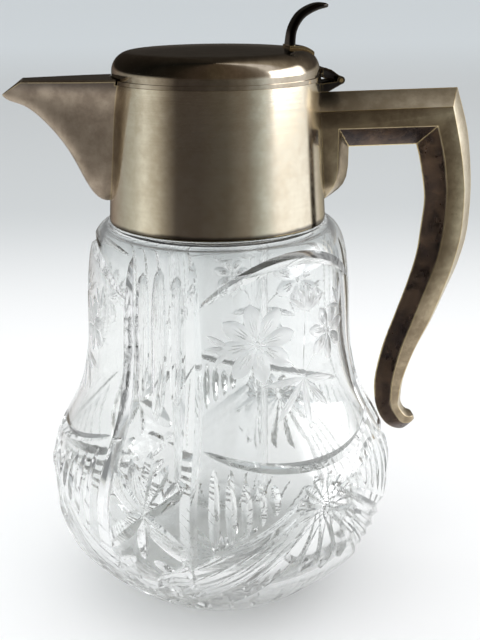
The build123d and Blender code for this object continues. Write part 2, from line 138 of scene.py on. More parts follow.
class Shader:
    # nodes of one material or world
    def __init__(self, owner):
        owner.use_nodes = True
        self.tree = owner.node_tree
        self.tree.nodes.clear()

    def node(self, kind, settings=None, sockets=None, out=0):
        made = self.tree.nodes.new(kind)
        for name, value in (settings or {}).items():
            if name == "stops":
                self.setStops(made.color_ramp, value)
            else:
                setattr(made, name, value)
        for name, value in (sockets or {}).items():
            if isinstance(value, Wire):
                self.tree.links.new(value.socket, made.inputs[name])
            else:
                made.inputs[name].default_value = value
        return Wire(self, made.outputs[out]) if made.outputs else made

    def setStops(self, ramp, stops):
        ramp.elements[0].position, ramp.elements[0].color = stops[0][0], grey(stops[0][1])
        ramp.elements[1].position, ramp.elements[1].color = stops[-1][0], grey(stops[-1][1])
        for place, colour in stops[1:-1]:
            ramp.elements.new(place).color = grey(colour)

    def axis(self, place, index):
        return self.node("ShaderNodeSeparateXYZ", {}, {0: place}, index)

    def place(self):
        return self.node("ShaderNodeTexCoord", {}, {}, "Object")

    def ray(self, kind):
        return self.node("ShaderNodeLightPath", {}, {}, kind)

    def bump(self, strength, distance, height):
        sockets = {"Strength": strength, "Distance": distance, "Height": height}
        return self.node("ShaderNodeBump", {}, sockets)

    def surface(self, body, output="ShaderNodeOutputMaterial"):
        self.node(output, {}, {"Surface": body})

    def mixColour(self, share, first, second, blend="MIX"):
        settings = {"data_type": "RGBA", "blend_type": blend}
        return self.node("ShaderNodeMix", settings, {0: share, 6: first, 7: second}, 2)

    def span(self, value, low, high, lowOut=0.0, highOut=1.0):
        settings = {"interpolation_type": "SMOOTHSTEP"}
        sockets = {0: value, 1: low, 2: high, 3: lowOut, 4: highOut}
        return self.node("ShaderNodeMapRange", settings, sockets)

    def noise(self, place, scale, detail=3.0, roughness=0.5, stretch=(1, 1, 1)):
        mapped = self.node("ShaderNodeMapping", {}, {"Vector": place, "Scale": stretch})
        return self.node("ShaderNodeTexNoise", {}, {
            "Vector": mapped, "Scale": scale, "Detail": detail, "Roughness": roughness})


def grey(value):
    return (value, value, value, 1.0) if isinstance(value, (int, float)) else (*value[:3], 1.0)


# light: a dark room with a tall window on the handle side and a pale wall on the spout side

roomValues = {
    "window": 4.5,
    "windowTint": (0.97, 0.98, 1.0),
    "windowRound": ((60.0, 0.0), (67.0, 1.0), (108.0, 1.0), (116.0, 0.0)),  # degrees from the front, strength
    "windowFoot": (-0.10, 0.02),   # heights, as the upward share of a direction
    "windowHead": (0.34, 0.50),
    "upperFrom": (-0.02, 0.10),    # where the lower colours give way to the upper ones
    "through": 0.30,               # how pale the room looks through glass
    "seen": (0.86, 0.89, 0.91),    # plain pale backdrop above the floor
    "soft": (0.90, 0.915, 0.93),   # even light on everything matt
}

# the room as the metal mirrors it, level with the jug: degrees from the front (right is positive), colour
roomRound = (
    (-170, (0.07, 0.06, 0.05)), (-141, (0.30, 0.24, 0.20)), (-113, (0.46, 0.455, 0.42)),
    (-97, (0.60, 0.60, 0.55)), (-82, (0.92, 0.92, 0.86)), (-66, (0.62, 0.59, 0.52)),
    (-54, (0.27, 0.24, 0.20)), (-43, (0.09, 0.075, 0.066)), (-19, (0.078, 0.065, 0.057)),
    (10, (0.105, 0.095, 0.08)), (32, (0.23, 0.21, 0.18)), (43, (0.40, 0.42, 0.40)),
    (54, (0.72, 0.77, 0.77)), (64, (1.0, 1.0, 1.0)), (112, (1.0, 1.0, 1.0)),
    (141, (0.45, 0.41, 0.33)), (170, (0.08, 0.07, 0.06)),
)

# the same higher up, where the lid sees it
roomHigh = (
    (-170, (0.03, 0.025, 0.02)), (-90, (0.010, 0.010, 0.009)), (-50, (0.020, 0.017, 0.013)),
    (-20, (0.06, 0.045, 0.034)), (0, (0.10, 0.08, 0.055)), (26, (0.13, 0.10, 0.075)),
    (42, (0.15, 0.125, 0.10)), (55, (0.33, 0.30, 0.27)), (64, (0.84, 0.82, 0.80)),
    (80, (0.80, 0.78, 0.77)), (92, (0.38, 0.34, 0.28)), (140, (0.10, 0.085, 0.07)),
    (170, (0.04, 0.035, 0.03)),
)


def roundRamp(s, x, y, rows):
    # value by direction round the jug; the last row's value also closes the circle at the back
    share = x.sum("ARCTAN2", x, -y) / math.tau + 0.5
    behind = rows[-1][1]
    stops = [((degrees - cameraValues["stand"] + 180.0) / 360.0, value) for degrees, value in rows]
    stops = [(0.0, behind)] + [stop for stop in stops if 0.0 < stop[0] < 1.0] + [(1.0, behind)]
    return s.node("ShaderNodeValToRGB", {"stops": stops}, {0: share})


def addRoom(values):
    world = bpy.data.worlds.new("room")
    scene.world = world
    s = Shader(world)
    way = s.node("ShaderNodeTexCoord", {}, {}, "Generated")
    x, y, z = [s.axis(way, index) for index in range(3)]
    level = roundRamp(s, x, y, roomRound)
    upper = roundRamp(s, x, y, roomHigh)
    room = s.mixColour(s.span(z, *values["upperFrom"]), level, upper)
    windowHigh = s.span(z, *values["windowFoot"]) * s.span(z, *values["windowHead"], 1.0, 0.0)
    window = roundRamp(s, x, y, values["windowRound"]) * windowHigh * values["window"]
    glow = s.mixColour(1.0, grey(values["windowTint"]), window, "MULTIPLY")
    lit = s.mixColour(1.0, room, glow, "ADD")
    seenRay = s.ray("Is Camera Ray")
    throughRay = s.ray("Is Transmission Ray")
    mattRay = s.ray("Is Diffuse Ray")
    lit = s.mixColour(throughRay * values["through"], lit, grey(values["seen"]))
    lit = s.mixColour(mattRay, lit, grey(values["soft"]))
    colour = s.mixColour(seenRay, lit, grey(values["seen"]))
    background = s.node("ShaderNodeBackground", {}, {"Color": colour, "Strength": 1.0})
    s.surface(background, "ShaderNodeOutputWorld")


overheadValues = {
    "size": 2.6,
    "energy": 14.0,
    "tint": (1.0, 0.99, 0.97),
    "place": (0.2, -0.3, 2.0),
}


def addOverhead(values):
    data = bpy.data.lights.new("overhead", "AREA")
    data.shape = "DISK"
    data.size = values["size"]
    data.energy = values["energy"]
    data.color = values["tint"]
    lamp = bpy.data.objects.new("overhead", data)
    lamp.location = values["place"]
    lamp.visible_glossy = False
    lamp.visible_transmission = False
    lamp.visible_camera = False
    scene.collection.objects.link(lamp)


floorValues = {
    "radius": 12.0,
    "edges": 64,
    "near": (0.93, 0.93, 0.93),
    "cloud": (0.84, 0.84, 0.83),
    "cloudScale": 40.0,
    "cloudShare": 0.06,
    "back": (0.60, 0.62, 0.625),     # greyer further behind the jug: a band of painted shade
    "backFrom": (0.26, 1.0),
    # lighter again further off, where the painted shade band ends
    "end": (0.70, 0.74, 0.76),
    "endFrom": (2.0, 4.2),
    "front": (-0.156, -0.988),       # level direction from the jug to the camera
    "paintedRoomFrom": (0.38, 0.60),    # past this the floor is painted with the room's light and shade, where the metal mirrors it
    "turnedPaintedRoomFrom": (0.14, 0.32),      # the same painted room, for what the glass turns back to the front
    "turnedPaintedRoomShare": 0.95,
    "rough": 0.6,
    "shine": 0.15,
}


def addFloor(values):
    bm = bmesh.new()
    bmesh.ops.create_circle(bm, cap_ends=True, radius=values["radius"], segments=values["edges"])
    floor = finishMesh(bm, "floor", [], smooth=False)
    material = bpy.data.materials.new("paleFloor")
    s = Shader(material)
    place = s.place()
    x = s.axis(place, 0)
    y = s.axis(place, 1)
    frontX, frontY = values["front"]
    ahead = x * frontX + y * frontY
    away = s.node("ShaderNodeVectorMath", {"operation": "LENGTH"}, {0: place}, "Value")
    throughRay = s.ray("Is Transmission Ray")
    # painted reflection: far enough off, the floor's colour takes the room's light and shade, for rays that
    # the metal mirrors or the glass turns back
    far = s.span(away, *values["paintedRoomFrom"]) * s.ray("Is Glossy Ray") * (1.0 - throughRay)
    far = far + s.span(ahead, *values["turnedPaintedRoomFrom"]) * throughRay * values["turnedPaintedRoomShare"]
    room = roundRamp(s, x, y, roomRound)
    fine = s.noise(place, values["cloudScale"])
    pale = s.mixColour(fine * values["cloudShare"], grey(values["near"]), grey(values["cloud"]))
    # painted shade: the floor greys behind the jug, then lightens again far off
    pale = s.mixColour(s.span(-ahead, *values["backFrom"]), pale, grey(values["back"]))
    pale = s.mixColour(s.span(-ahead, *values["endFrom"]), pale, grey(values["end"]))
    # the floor's colour, with the room's light and shade painted on where it is seen in reflection
    colour = s.mixColour(far, pale, room)
    body = s.node("ShaderNodeBsdfPrincipled", {}, {
        "Base Color": colour, "Roughness": values["rough"], "Specular IOR Level": values["shine"]})
    s.surface(body)
    floor.data.materials.append(material)


# mesh helpers

joined = 1e-6      # doubles closer than this are one point
joinedMm = 1e-4    # the same for pieces joined while still in mm
flatWithin = 0.3   # degrees: faces flatter than this to each other become one


def finishMesh(bm, name, materials, smooth=True, sharpAt=28.0):
    bmesh.ops.recalc_face_normals(bm, faces=bm.faces)
    mesh = bpy.data.meshes.new(name)
    bm.to_mesh(mesh)
    bm.free()
    for material in materials:
        mesh.materials.append(material)
    piece = bpy.data.objects.new(name, mesh)
    scene.collection.objects.link(piece)
    if smooth:
        mesh.shade_smooth()
        mesh.set_sharp_from_angle(angle=math.radians(sharpAt))
    return piece


def finishMm(bm, name, materials, sharpAt=28.0):
    # the same for a shape drawn in mm
    bmesh.ops.scale(bm, vec=(mm, mm, mm), verts=bm.verts)
    return finishMesh(bm, name, materials, sharpAt=sharpAt)


def spinProfile(points, segments):
    bm = bmesh.new()
    verts = [bm.verts.new((r, 0.0, z)) for r, z in points]
    edges = [bm.edges.new(pair) for pair in zip(verts, verts[1:])]
    bmesh.ops.spin(bm, geom=verts + edges, cent=(0, 0, 0), axis=(0, 0, 1), angle=math.tau,
                   steps=segments, use_merge=True)
    bmesh.ops.remove_doubles(bm, verts=bm.verts, dist=joined)
    bmesh.ops.recalc_face_normals(bm, faces=bm.faces)
    return bm


def smoothRun(stations, steps):
    # rows of numbers joined by smooth curves through every row
    rows = []
    ends = [stations[0], *stations, stations[-1]]
    for a, b, c, d in zip(ends, ends[1:], ends[2:], ends[3:]):
        for step in range(steps):
            t = step / steps
            rows.append([0.5 * (2 * q + (r - p) * t + (2 * p - 5 * q + 4 * r - w) * t * t
                                + (3 * q - p - 3 * r + w) * t ** 3)
                         for p, q, r, w in zip(a, b, c, d)])
    rows.append(list(stations[-1]))
    return rows


def only(items, kind):
    return [item for item in items if isinstance(item, kind)]


def skinRings(rings, paint=None):
    # rings of points joined one after another, with closed ends; paint gives each strip its material
    bm = bmesh.new()
    verts = [bm.verts.new(point) for point in rings[0]]
    edges = [bm.edges.new((a, b)) for a, b in zip(verts, verts[1:] + verts[:1])]
    for ring in rings[1:]:
        made = bmesh.ops.extrude_edge_only(bm, edges=edges)["geom"]
        fresh = {}
        for face in only(made, bmesh.types.BMFace):
            strip = edges.index(next(edge for edge in face.edges if edge in edges))
            face.material_index = paint[strip] if paint else 0
            below = edges[strip].verts
            for edge in face.edges:
                ends = [v for v in edge.verts if v in below]
                if len(ends) == 1:
                    fresh[verts.index(ends[0])] = edge.other_vert(ends[0])
        verts = [fresh[index] for index in range(len(ring))]
        edges = [bm.edges.get((a, b)) for a, b in zip(verts, verts[1:] + verts[:1])]
        for vert, point in zip(verts, ring):
            vert.co = point
    bmesh.ops.holes_fill(bm, edges=bm.edges, sides=0)
    bmesh.ops.recalc_face_normals(bm, faces=bm.faces)
    return bm


def bevelSharp(bm, angle, offset, keepLow=0.0, keepHigh=0.0):
    # rounds every sharp edge but those that lie between two heights
    sharp = [edge for edge in bm.edges if edge.is_manifold and edge.calc_face_angle(0.0) > math.radians(angle)
             and not all(keepLow < vert.co.z < keepHigh for vert in edge.verts)]
    bmesh.ops.bevel(bm, geom=sharp, offset=offset, offset_type="OFFSET", segments=2, profile=0.5,
                    affect="EDGES", material=-1, clamp_overlap=True)


def meshAfter(piece):
    # what the piece's modifiers make of it
    bpy.context.view_layer.update()
    return bpy.data.meshes.new_from_object(piece.evaluated_get(bpy.context.evaluated_depsgraph_get()))


def joinSolids(base, other, name):
    # union of two closed shapes in mm, as a new bmesh
    first = finishMesh(base, name, handleFinishes)
    second = finishMesh(other, "other", handleFinishes)
    mod = first.modifiers.new("join", "BOOLEAN")
    mod.operation = "UNION"
    mod.object = second
    mod.solver = "MANIFOLD"
    bm = bmesh.new()
    bm.from_mesh(meshAfter(first))
    for piece in (first, second):
        bpy.data.objects.remove(piece)
    bmesh.ops.remove_doubles(bm, verts=bm.verts, dist=joinedMm)
    bmesh.ops.dissolve_limit(bm, angle_limit=math.radians(flatWithin), verts=bm.verts, edges=bm.edges,
                             delimit={"MATERIAL"})
    return bm


# materials

silverLooks = {
    "satinSilver": {
        "light": (0.80, 0.735, 0.60), "dark": (0.66, 0.58, 0.45), "rough": (0.08, 0.15),
        "stretch": (1.0, 1.0, 90.0), "lineScale": 9.0, "lines": 0.10, "pits": 0.15, "wear": 0.0,
        # heights of a band of painted shade along the collar's foot
        "shadeBand": (0.1995, 0.1979)},
    "polishedSilver": {
        "light": (0.62, 0.55, 0.45), "dark": (0.40, 0.34, 0.26), "rough": (0.05, 0.12),
        "stretch": (1.0, 1.0, 30.0), "lineScale": 9.0, "lines": 0.05, "pits": 0.15, "wear": 0.0},
    "wornSilver": {
        "light": (0.46, 0.38, 0.26), "dark": (0.25, 0.195, 0.13), "rough": (0.12, 0.24),
        "stretch": (14.0, 14.0, 14.0), "lineScale": 14.0, "lines": 0.06, "pits": 0.7, "wear": 0.8},
    "tarnishedSilver": {
        "light": (0.145, 0.095, 0.065), "dark": (0.038, 0.028, 0.026), "rough": (0.14, 0.30),
        "stretch": (12.0, 12.0, 5.0), "lineScale": 12.0, "lines": 0.06, "pits": 0.6, "wear": 0.9},
    "rubbedSilver": {
        "light": (0.66, 0.60, 0.48), "dark": (0.46, 0.395, 0.29), "rough": (0.30, 0.42),
        "stretch": (14.0, 14.0, 14.0), "lineScale": 14.0, "lines": 0.10, "pits": 0.7, "wear": 0.8},
    "darkSilver": {
        "light": (0.085, 0.08, 0.078), "dark": (0.035, 0.03, 0.03), "rough": (0.06, 0.16),
        "stretch": (10.0, 10.0, 10.0), "lineScale": 16.0, "lines": 0.05, "pits": 0.4, "wear": 0.35},
    "brownSilver": {
        "light": (0.42, 0.345, 0.265), "dark": (0.26, 0.205, 0.155), "rough": (0.30, 0.42),
        "stretch": (20.0, 20.0, 4.0), "lineScale": 10.0, "lines": 0.08, "pits": 0.4, "wear": 0.25,
        # heights of a band of painted shade along the spout's top, under the lid
        "shadeBand": (0.2585, 0.2660)},
    "blackSteel": {
        "light": (0.030, 0.028, 0.027), "dark": (0.014, 0.012, 0.012), "rough": (0.05, 0.14),
        "stretch": (10.0, 10.0, 10.0), "lineScale": 16.0, "lines": 0.05, "pits": 0.2, "wear": 0.25},
    "brassPin": {
        "light": (0.72, 0.56, 0.30), "dark": (0.42, 0.30, 0.15), "rough": (0.15, 0.3),
        "stretch": (1.0, 40.0, 1.0), "lineScale": 20.0, "lines": 0.08, "pits": 0.4, "wear": 0.3},
}

metalGrain = {
    "cloudScale": 22.0,
    "spotScale": 150.0,
    "fineScale": 420.0,
    "pitScale": 700.0,
    "tarnish": (0.40, 0.62),
    "streak": (0.35, 0.65),
    "streakShare": 0.25,
    "pit": (0.62, 0.74),
    # colour and strength of the painted shade bands at the collar's foot and the spout's top
    "shadeBandColour": (0.055, 0.045, 0.04),
    "shadeBandShare": 0.85,
    "ragged": 6.0 * mm,
    "edgeReach": 0.9 * mm,
    "edge": (0.998, 0.95),
    "rubbed": (0.22, 0.50),
    "rubbedColour": (0.88, 0.70, 0.36),    # brass under the plate
    "curlJoint": 92.4 * mm,    # no worn edge where the curl meets the handle's halves
    "jointReach": (1.2 * mm, 2.4 * mm),
    "roughShares": (0.5, 0.4, 0.06),    # of streaks, fine grain and tarnish
    "fineBump": 0.04,
    "bump": (0.25, 0.6 * mm),
}


def silverMaterial(name, look, grain):
    material = bpy.data.materials.new(name)
    s = Shader(material)
    place = s.place()
    lines = s.noise(place, look["lineScale"], 6.0, 0.75, look["stretch"])
    clouds = s.noise(place, grain["cloudScale"], 5.0, 0.6)
    fine = s.noise(place, grain["fineScale"], 3.0, 0.6)
    spots = s.noise(place, grain["spotScale"], 4.0, 0.65)
    dark = grey(look["dark"])
    tarnish = s.span(clouds * 0.55 + spots * 0.45, *grain["tarnish"])
    colour = s.mixColour(tarnish, grey(look["light"]), dark)
    streak = s.span(lines, *grain["streak"])
    colour = s.mixColour(streak * grain["streakShare"], colour, dark)
    pits = s.span(s.noise(place, grain["pitScale"], 2.0, 0.7), *grain["pit"])
    colour = s.mixColour(pits * look["pits"], colour, dark)
    # painted shade: a dark band along the collar's foot and along the spout's top under the lid
    if "shadeBand" in look:
        height = s.axis(place, 2) + (clouds - 0.5) * grain["ragged"]
        shaded = s.span(height, *look["shadeBand"])
        colour = s.mixColour(shaded * grain["shadeBandShare"], colour, grey(grain["shadeBandColour"]))
    if look["wear"]:
        corner = s.node("ShaderNodeBevel", {"samples": 6}, {"Radius": grain["edgeReach"]})
        flat = s.node("ShaderNodeNewGeometry", {}, {}, "Normal")
        match = s.node("ShaderNodeVectorMath", {"operation": "DOT_PRODUCT"}, {0: corner, 1: flat}, "Value")
        drop = s.axis(place, 2) - grain["curlJoint"]
        apart = s.span(drop.sum("ABSOLUTE", drop), *grain["jointReach"])
        rubbed = s.span(match, *grain["edge"]) * s.span(spots, *grain["rubbed"]) * apart * look["wear"]
        colour = s.mixColour(rubbed, colour, grey(grain["rubbedColour"]))
    low, high = look["rough"]
    ofStreak, ofFine, ofTarnish = grain["roughShares"]
    rough = streak * (high - low) * ofStreak + fine * (high - low) * ofFine + tarnish * ofTarnish + low
    bump = s.bump(*grain["bump"], lines * look["lines"] + fine * grain["fineBump"])
    body = s.node("ShaderNodeBsdfPrincipled", {}, {
        "Base Color": colour, "Metallic": 1.0, "Roughness": rough, "Normal": bump})
    s.surface(body)
    return material


glassLooks = {
    "cutCrystal": {"tint": (0.950, 0.960, 0.955), "ior": 1.53, "rough": (0.0, 0.012), "bump": 0.02},
    "mattEngraving": {"tint": (0.975, 0.98, 0.98), "ior": 1.50, "rough": (0.30, 0.42), "bump": 0.35},
    "clearTube": {"tint": (0.985, 0.99, 0.992), "ior": 1.50, "rough": (0.0, 0.01), "bump": 0.01},
}

glassGrain = {
    "cloudScale": 60.0,
    "cloud": (0.40, 0.75),
    "grainScale": 900.0,
    "bumpDistance": 0.4 * mm,
    "shadow": (0.93, 0.94, 0.94),    # what light keeps on its way through to the floor
}


def glassMaterial(name, look, grain):
    material = bpy.data.materials.new(name)
    s = Shader(material)
    place = s.place()
    cloud = s.noise(place, grain["cloudScale"], 3.0)
    fine = s.noise(place, grain["grainScale"], 2.0)
    low, high = look["rough"]
    rough = s.span(cloud, *grain["cloud"]) * (high - low) + low
    bump = s.bump(look["bump"], grain["bumpDistance"], fine)
    body = s.node("ShaderNodeBsdfPrincipled", {}, {
        "Base Color": grey(look["tint"]), "Roughness": rough, "IOR": look["ior"],
        "Transmission Weight": 1.0, "Normal": bump})
    clear = s.node("ShaderNodeBsdfTransparent", {}, {"Color": grey(grain["shadow"])})
    shell = s.node("ShaderNodeMixShader", {}, {0: s.ray("Is Shadow Ray"), 1: body, 2: clear})
    s.surface(shell)
    return material


plasterLook = {
    "light": (0.84, 0.82, 0.76),
    "dark": (0.72, 0.69, 0.61),
    "rough": 0.85,
    "bump": (0.5, 0.5 * mm),
    "grainScale": 260.0,
    "patchScale": 30.0,
}


def plasterMaterial(look):
    material = bpy.data.materials.new("plaster")
    s = Shader(material)
    place = s.place()
    grain = s.noise(place, look["grainScale"], 5.0, 0.7)
    patch = s.noise(place, look["patchScale"], 3.0)
    colour = s.mixColour(patch, grey(look["light"]), grey(look["dark"]))
    bump = s.bump(*look["bump"], grain)
    body = s.node("ShaderNodeBsdfPrincipled", {}, {
        "Base Color": colour, "Roughness": look["rough"], "Normal": bump})
    s.surface(body)
    return material


finishes = {name: silverMaterial(name, look, metalGrain) for name, look in silverLooks.items()}
finishes.update({name: glassMaterial(name, look, glassGrain) for name, look in glassLooks.items()})
finishes["plaster"] = plasterMaterial(plasterLook)
print("finishes made:", len(finishes))

nodeFinish = {
    "cut_glass": "cutCrystal", "clear_glass": "clearTube", "plaster": "plaster",
    "satin_silver": "satinSilver", "polished_silver": "polishedSilver",
    "worn_silver": "wornSilver", "dark_silver": "darkSilver", "brass_pin": "brassPin",
}
ownFinish = {"spout_shell": "brownSilver", "thumb_lever": "blackSteel"}
for part in frame["record"]["subparts"]:
    mesh = nodes[part["node"]].data
    mesh.materials.clear()
    mesh.materials.append(finishes[ownFinish.get(part["node"], nodeFinish[part["material_slot"]])])
print("carried-over pieces finished")


# cut-glass body

glassShape = {
    # curves of the outline from the foot up to the drum, in mm: two ends and two handles each
    "side": (
        ((50.5, 4.0), (57.0, 9.5), (70.5, 19.5), (78.6, 30.0)),
        ((78.6, 30.0), (85.4, 39.0), (88.3, 54.0), (88.3, 69.0)),
        ((88.3, 69.0), (88.3, 86.0), (77.5, 97.0), (71.8, 112.0)),
        ((71.8, 112.0), (69.2, 119.0), (66.6, 132.0), (66.4, 146.0)),
        ((66.4, 146.0), (66.2, 158.0), (65.8, 168.0), (64.4, 178.0)),
    ),
    "shoulder": (((64.4, 178.0), (63.3, 186.0), (61.0, 194.5), (54.2, 196.4)),),
    "wall": 5.0,
    "stepsPerCurve": 16,
    "segments": 216,
    "neckRadius": 47.5,
    "neckRows": (196.5, 210.0, 224.6),
    "foot": 43.5,
    "footRows": (0.0, 31.5, 42.5),   # flat rings of the underside
    "footRise": 0.4,
    "floor": 13.0,
    "floorBend": (0.62, 0.86, 0.8),    # where the floor curls, as shares of its radius, and its dip
    "insideOf": (18.0, 193.5, 45.0),   # inner wall's lowest and highest place, least radius
    "throatBend": (3.4, 4.0),
    "throatRows": (188.0, 197.0),
    "floorSteps": 18,
    "throatSteps": 10,
}


def curvePoints(curves, steps):
    points = []
    for curve in curves:
        knots = [Vector((r, 0.0, z)) for r, z in curve]
        run = interpolate_bezier(*knots, steps + 1)
        points += run if not points else run[1:]
    return [(p.x, p.z) for p in points]


def glassOutline(shape):
    return curvePoints(shape["side"] + shape["shoulder"], shape["stepsPerCurve"])


outline = glassOutline(glassShape)


def glassRadius(z):
    for (r0, z0), (r1, z1) in zip(outline, outline[1:]):
        if z <= z1:
            return r0 + (r1 - r0) * (z - z0) / (z1 - z0)
    return outline[-1][0]


slopeReach = 0.8   # mm up and down the outline that its slope is taken over


def surfaceFrame(turn, z):
    # point on the glass at an angle and height, with its outward direction
    radius = glassRadius(z)
    slope = (glassRadius(z + slopeReach) - glassRadius(z - slopeReach)) / (2 * slopeReach)
    out = Vector((math.cos(turn), math.sin(turn), -slope)).normalized()
    return Vector((radius * math.cos(turn), radius * math.sin(turn), z)), out


def glassBlank(shape):
    # the uncut body, spun from its outer outline and one wall inside it
    wall = shape["wall"]
    lowest, highest, narrowest = shape["insideOf"]
    inner = []
    for (r0, z0), (r1, z1) in zip(outline, outline[1:]):
        edge = Vector((r1 - r0, z1 - z0)).normalized()
        middle = ((r0 + r1) / 2 - edge.y * wall, (z0 + z1) / 2 + edge.x * wall)
        if lowest < middle[1] < highest and middle[0] > narrowest:
            inner.append(middle)
    low, high = inner[0], inner[-1]
    bed = shape["floor"]
    flat, curl, dip = shape["floorBend"]
    bedCurve = ((0.0, bed), (low[0] * flat, bed), (low[0] * curl, bed - dip), low)
    floorCurve = curvePoints((bedCurve,), shape["floorSteps"])
    neckOut = shape["neckRadius"]
    neckIn = neckOut - wall
    bend, top = shape["throatRows"]
    inward, upward = shape["throatBend"]
    throatCurve = (high, (high[0] - inward, high[1] + upward), (neckIn, bend), (neckIn, top))
    throat = curvePoints((throatCurve,), shape["throatSteps"])
    points = [(r, 0.0) for r in shape["footRows"]] + [(shape["foot"], shape["footRise"])]
    points += outline
    points += [(neckOut, z) for z in shape["neckRows"]]
    points += [(neckIn, z) for z in shape["neckRows"][:0:-1]]
    points += list(reversed(throat))[:-1] + list(reversed(inner)) + list(reversed(floorCurve))[1:]
    return spinProfile(points, shape["segments"])


# wheel cuts: each is one closed shape swept along the glass, taken out of the body at the end

wheel = {
    "above": 5.0,        # how far a grooving wheel stands out of the glass, mm
    "roundDown": 0.7,    # share of a rounded wheel that is in the glass
    "roundLift": 0.3,    # how far its middle stands out
    "thinnest": 0.02,
    "runOut": 0.35,      # how far a cut's ends lift out of the glass
    "rayRunOut": 0.3,
    "bendSteps": 8,      # steps that keep a ray's length true over the curved wall
}

cutters = []


def sweepCut(path, sides=3, half=52.0, matt=False, round=0.0):
    # path: angle, height and depth of each place along the cut
    spots = [(*surfaceFrame(turn, z), depth) for turn, z, depth in path]
    sweepSpots(spots, sides, half, matt, round)


def wheelPose(place, out, along, depth, sides, half, round):
    # where the unit polygon goes: a triangle, 1.5 tall and twice 0.866 wide, gives a V groove with one
    # corner down; more sides give a rounded flute
    across = out.cross(along).normalized()
    if sides == 3:
        tall = (wheel["above"] + depth) / 1.5
        wide = (wheel["above"] + depth) * math.tan(math.radians(half)) / 0.866
        centre = place + out * (tall - depth)
    else:
        tall = max(depth, wheel["thinnest"]) / wheel["roundDown"]
        wide = max(round * max(depth, wheel["thinnest"]), wheel["thinnest"])
        centre = place + out * (tall * wheel["roundLift"])
    columns = [(*axis, 0.0) for axis in (across * wide, -out * tall, along)] + [(*centre, 1.0)]
    return Matrix(columns).transposed()


def sweepSpots(spots, sides=3, half=52.0, matt=False, round=0.0):
    bm = bmesh.new()
    verts = bmesh.ops.create_circle(bm, cap_ends=False, radius=1.0, segments=sides)["verts"]
    edges = list(bm.edges)
    last = None
    for index, (place, out, depth) in enumerate(spots):
        before = spots[max(index - 1, 0)][0]
        after = spots[min(index + 1, len(spots) - 1)][0]
        along = (after - before).normalized()
        along = (along - out * along.dot(out)).normalized()
        pose = wheelPose(place, out, along, depth, sides, half, round)
        if last is None:
            bmesh.ops.transform(bm, matrix=pose, verts=verts)
        else:
            more = bmesh.ops.extrude_edge_only(bm, edges=edges)["geom"]
            verts = only(more, bmesh.types.BMVert)
            edges = [edge for edge in only(more, bmesh.types.BMEdge) if all(v in verts for v in edge.verts)]
            bmesh.ops.transform(bm, matrix=pose @ last.inverted(), verts=verts)
        last = pose
    bmesh.ops.holes_fill(bm, edges=bm.edges, sides=0)
    cutters.append((bm, matt))


def taper(share, power=0.5):
    # 0 at both ends of a cut and 1 in its middle
    return max(4.0 * share * (1.0 - share), 0.0) ** power


def cutCurve(place, depth, steps, half=52.0, power=0.5, endPower=0.5, **shape):
    # a cut along a curve: place gives degrees and height for each share of its length
    path = []
    for step in range(steps + 1):
        share = step / steps
        turn, z = place(share)
        lift = wheel["runOut"] * (1.0 - taper(share, endPower))
        path.append((math.radians(turn), z, depth * min(taper(share, power), 1.0) - lift))
    sweepCut(path, half=half, **shape)


def cutLine(start, end, depth, steps=10, bow=0.0, power=0.55, **shape):
    # a cut between two places, given as degrees and height
    def place(share):
        turn = start[0] + (end[0] - start[0]) * share
        return turn, start[1] + (end[1] - start[1]) * share + bow * 4.0 * share * (1.0 - share)
    cutCurve(place, depth, steps, power=power, **shape)


def cutRays(centre, rays, depth, half, steps=8, power=0.5, inner=0.0, skew=0.0, **shape):
    # cuts that run out from one place: each ray is an angle on the surface (0 is down) and a length in mm;
    # half is half the groove's angle in degrees
    for angle, length in rays:
        path = []
        for step in range(steps + 1):
            share = step / steps
            run = inner + (length - inner) * share
            drop = -math.cos(math.radians(angle)) * run / wheel["bendSteps"]
            z = centre[1]
            for _ in range(wheel["bendSteps"]):
                z += drop * math.cos(math.atan(glassRadius(z + 0.5) - glassRadius(z - 0.5)))
            aside = math.sin(math.radians(angle)) * run
            turn = centre[0] + math.degrees(aside / glassRadius((z + centre[1]) / 2))
            lift = wheel["rayRunOut"] * (1.0 - taper(share))
            path.append((math.radians(turn), z, depth * taper(share ** (1.0 + skew), power) - lift))
        sweepCut(path, half=half, **shape)


